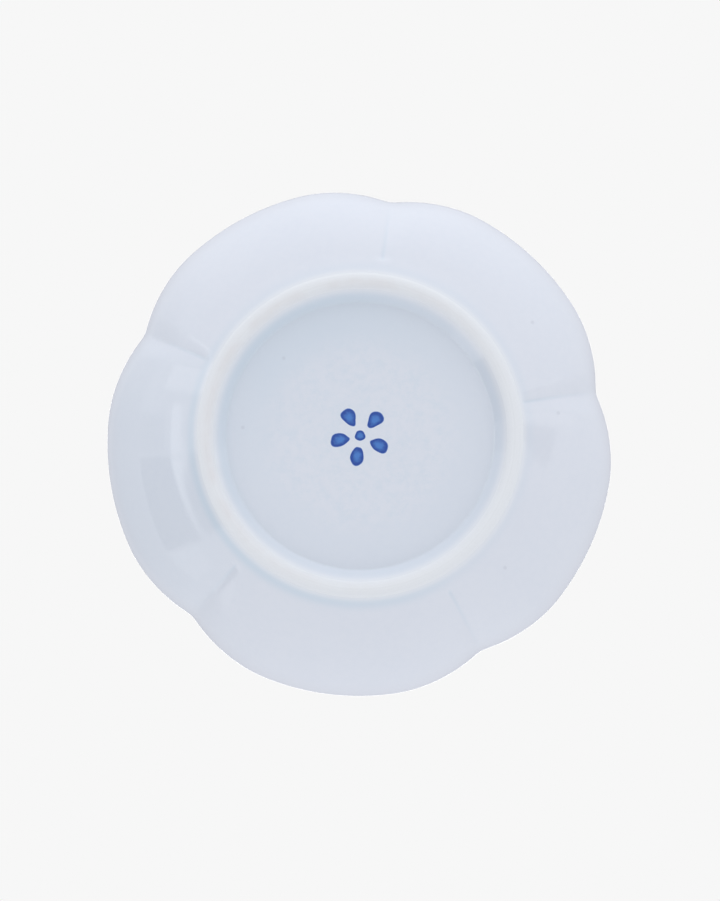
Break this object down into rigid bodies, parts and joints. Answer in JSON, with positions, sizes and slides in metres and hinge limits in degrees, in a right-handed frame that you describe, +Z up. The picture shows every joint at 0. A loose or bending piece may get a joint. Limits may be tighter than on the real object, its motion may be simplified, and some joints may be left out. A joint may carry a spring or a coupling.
{
  "type": "small plate",
  "caption": "Small porcelain serving plate with a lobed, notched rim, a shallow dish for food and a foot ring with a bare tread; bluish clear glaze, cobalt flower mark under the base.",
  "frame": {"origin": "centre of the foot ring on the plane of the bare tread, where the plate meets the table", "axes": "+Z up along the plate's axis, out of the dish; +X and +Y level, with one rim notch 9 degrees from +X towards -Y"},
  "size_m": [0.1053, 0.1053, 0.0175],
  "materials": {
    "bare_porcelain": "fired porcelain clay, covered by the glaze",
    "bare_tread": "bare fired porcelain, smoothed and matt",
    "clear_glaze": "glossy clear glaze with a faint blue tint over white porcelain",
    "cobalt_paint": "painted cobalt blue, glossy"
  },
  "bodies": {
    "root": {"porcelain_body": "bare_porcelain", "foot_ring": "bare_tread", "outer_glaze": "clear_glaze", "base_glaze": "clear_glaze", "mark_dab_1": "cobalt_paint", "mark_dab_2": "cobalt_paint", "mark_dab_3": "cobalt_paint", "mark_dab_4": "cobalt_paint", "mark_dab_5": "cobalt_paint", "mark_dot": "cobalt_paint"}
  },
  "joints": []
}
